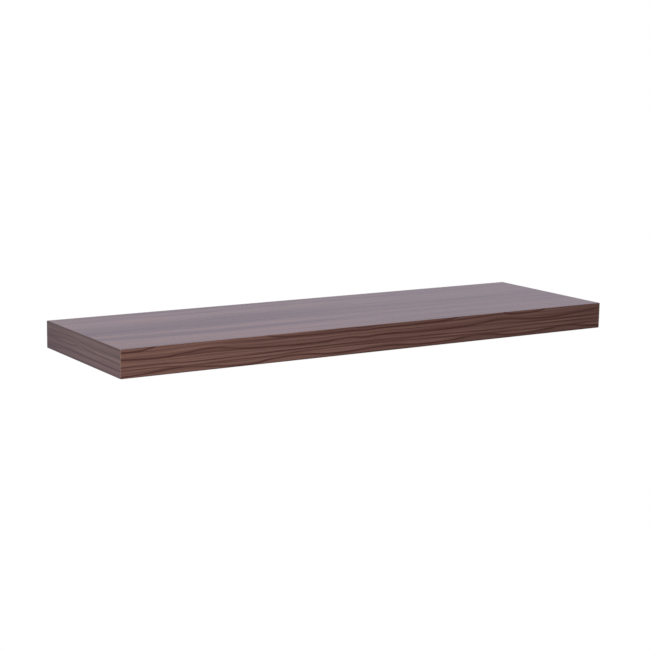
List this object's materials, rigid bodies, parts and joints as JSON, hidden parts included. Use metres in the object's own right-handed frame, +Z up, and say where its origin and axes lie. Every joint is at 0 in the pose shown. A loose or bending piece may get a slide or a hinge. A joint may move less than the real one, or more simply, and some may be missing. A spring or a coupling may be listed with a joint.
{
  "type": "floating wall shelf",
  "caption": "Floating wall shelf: hollow-core board in dark walnut effect that slides onto a concealed rod bracket and is clamped by grub screws in its underside.",
  "frame": {"origin": "middle of the wall rail's back face, on the wall plane, at half the board's thickness", "axes": "+X along the shelf to the right as seen from the room, +Y into the wall, +Z up"},
  "size_m": [0.8, 0.291, 0.038],
  "materials": {
    "walnut_face": "satin walnut-effect foil on a thin fibreboard skin, grain along the length",
    "walnut_band": "satin walnut-effect edge band, grain along the edge",
    "chipboard": "raw chipboard",
    "softwood": "planed softwood",
    "kraft_paper": "unbleached kraft paper",
    "black_steel": "satin black powder coat on steel",
    "zinc_steel": "bright zinc plating",
    "grey_nylon": "moulded grey nylon",
    "insert_brass": "machined brass"
  },
  "bodies": {
    "wall_bracket": {"wall_rail": "black_steel", "rod_left": "black_steel", "rod_centre": "black_steel", "rod_right": "black_steel", "wall_screw_1": "zinc_steel", "wall_screw_2": "zinc_steel", "wall_screw_3": "zinc_steel", "wall_screw_4": "zinc_steel", "wall_plug_1": "grey_nylon", "wall_plug_2": "grey_nylon", "wall_plug_3": "grey_nylon", "wall_plug_4": "grey_nylon"},
    "shelf_board": {"top_panel": "walnut_face", "bottom_panel": "walnut_face", "front_rail": "chipboard", "left_end_rail": "chipboard", "right_end_rail": "chipboard", "back_rail": "chipboard", "rod_block_left": "softwood", "rod_block_centre": "softwood", "rod_block_right": "softwood", "honeycomb_core": "kraft_paper", "front_edge_band": "walnut_band", "left_edge_band": "walnut_band", "right_edge_band": "walnut_band", "lock_insert_left": "insert_brass", "lock_insert_centre": "insert_brass", "lock_insert_right": "insert_brass"},
    "left_lock": {"lock_screw_left": "zinc_steel"},
    "centre_lock": {"lock_screw_centre": "zinc_steel"},
    "right_lock": {"lock_screw_right": "zinc_steel"}
  },
  "joints": [
    {"name": "shelf_slide", "type": "slide", "parent": "wall_bracket", "child": "shelf_board", "axis": [0, -1, 0], "range_m": [0, 0.135]},
    {"name": "left_lock_travel", "type": "slide", "parent": "shelf_board", "child": "left_lock", "axis": [0, 0, -1], "range_m": [0, 0.003]},
    {"name": "centre_lock_travel", "type": "slide", "parent": "shelf_board", "child": "centre_lock", "axis": [0, 0, -1], "range_m": [0, 0.003]},
    {"name": "right_lock_travel", "type": "slide", "parent": "shelf_board", "child": "right_lock", "axis": [0, 0, -1], "range_m": [0, 0.003]}
  ]
}
